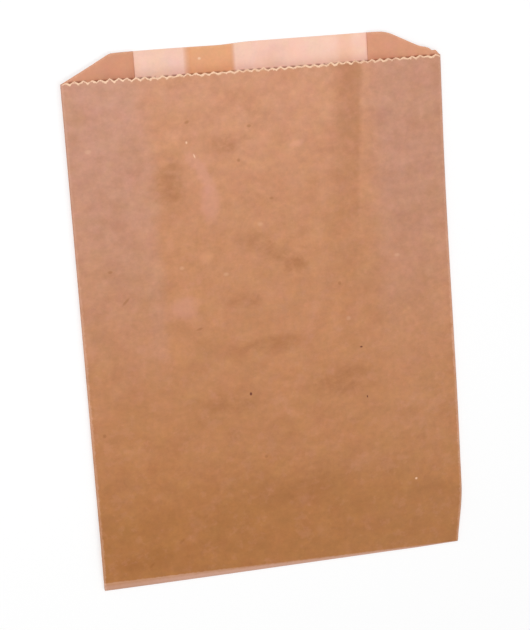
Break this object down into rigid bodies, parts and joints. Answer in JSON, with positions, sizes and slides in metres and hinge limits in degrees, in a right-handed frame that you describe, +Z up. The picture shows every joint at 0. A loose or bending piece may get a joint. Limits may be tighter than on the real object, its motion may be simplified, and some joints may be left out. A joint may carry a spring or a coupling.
{
  "type": "sanitary disposal bag",
  "caption": "Flat liner bag of waxed kraft paper with side gussets, a serrated mouth, a longer back lip with sloping ends and a bottom folded under and pasted.",
  "frame": {"origin": "centre of the bounding box on the surface that the bag lies on", "axes": "+X across the bag to the right of someone who faces the front panel with the mouth away from them, +Y along the bag from the bottom fold to the mouth, +Z up out of the front panel"},
  "size_m": [0.1906, 0.273, 0.0081],
  "materials": {
    "waxed_kraft": "satin"
  },
  "bodies": {
    "root": {"paper_bag": "waxed_kraft"}
  },
  "joints": []
}
